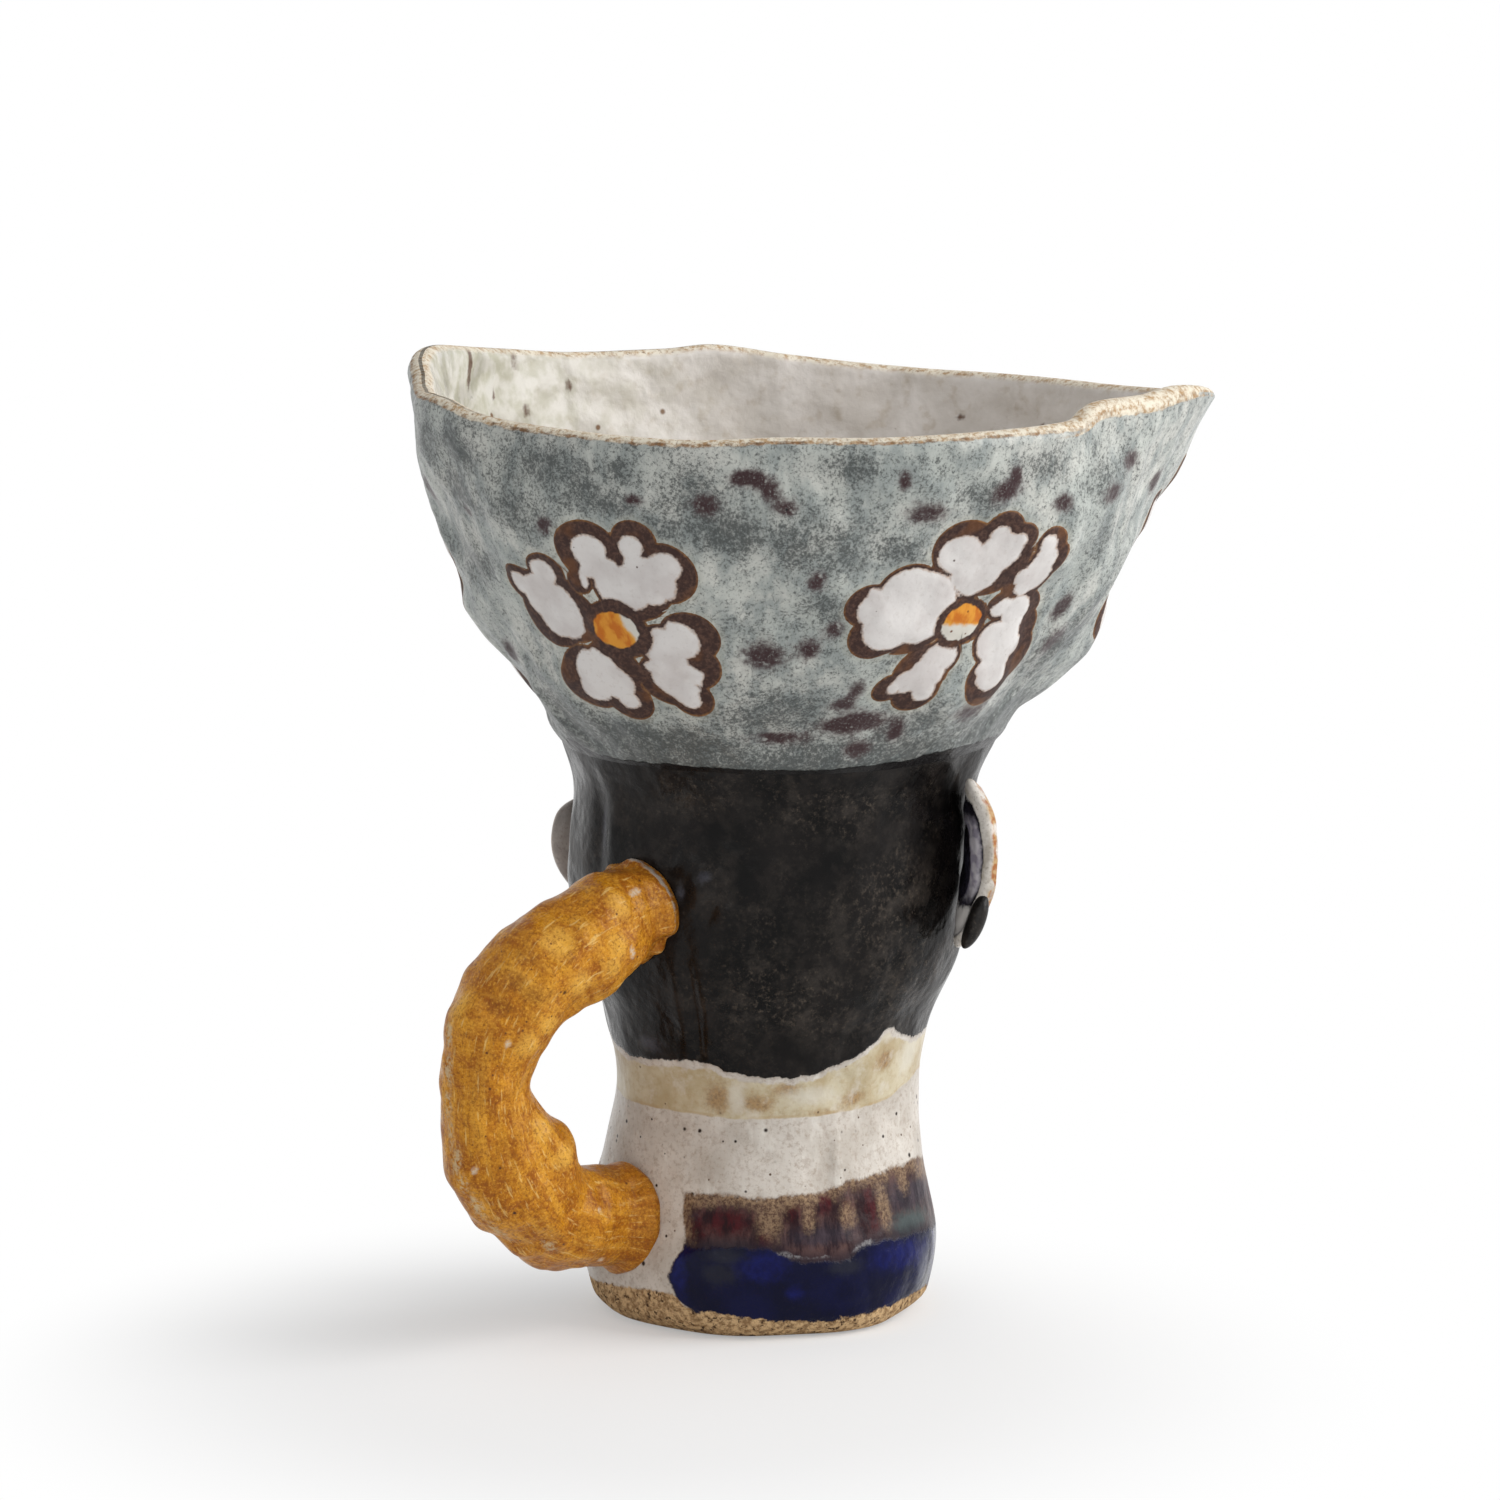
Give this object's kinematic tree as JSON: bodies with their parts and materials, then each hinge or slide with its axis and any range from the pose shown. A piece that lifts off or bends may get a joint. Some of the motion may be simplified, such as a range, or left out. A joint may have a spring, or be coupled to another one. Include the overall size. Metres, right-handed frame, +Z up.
{
  "type": "head cup",
  "caption": "Hand-built stoneware cup: a hollow head on a flared neck carries a flared bowl with a pinched corner, and a thick coil handle at the back.",
  "frame": {"origin": "centre of the foot, on the table", "axes": "+Z up, -Y the way the face looks, +X the side of the left ear; the handle is at the back, turned a little towards +X"},
  "size_m": [0.1274, 0.1313, 0.1594],
  "materials": {
    "raw_clay": "bare speckled stoneware",
    "cobalt_glaze": "glossy cobalt running up into maroon and cream",
    "cream_glaze": "glossy cream white with a honey stain",
    "black_glaze": "semi-gloss black breaking brown",
    "celadon_glaze": "glossy mottled grey-green with iron spots",
    "ochre_glaze": "glossy streaked ochre",
    "taupe_glaze": "glossy taupe grey",
    "petal_glaze": "glossy white with brown outlines",
    "brown_glaze": "satin iron brown",
    "rose_glaze": "satin rose brown"
  },
  "bodies": {
    "root": {"foot_slab": "raw_clay", "collar_wall": "cobalt_glaze", "neck_wall": "cream_glaze", "head_wall": "black_glaze", "hat_bowl": "celadon_glaze", "handle": "ochre_glaze", "right_ear": "taupe_glaze", "left_ear": "taupe_glaze", "right_earring": "black_glaze", "left_earring": "black_glaze", "nose": "cream_glaze", "right_eye": "petal_glaze", "left_eye": "petal_glaze", "right_brow": "brown_glaze", "left_brow": "brown_glaze", "upper_lip": "rose_glaze", "lower_lip": "rose_glaze", "rear_flower": "petal_glaze", "right_rear_flower": "petal_glaze", "right_front_flower": "petal_glaze", "left_front_flower": "petal_glaze", "left_rear_flower": "petal_glaze"}
  },
  "joints": []
}
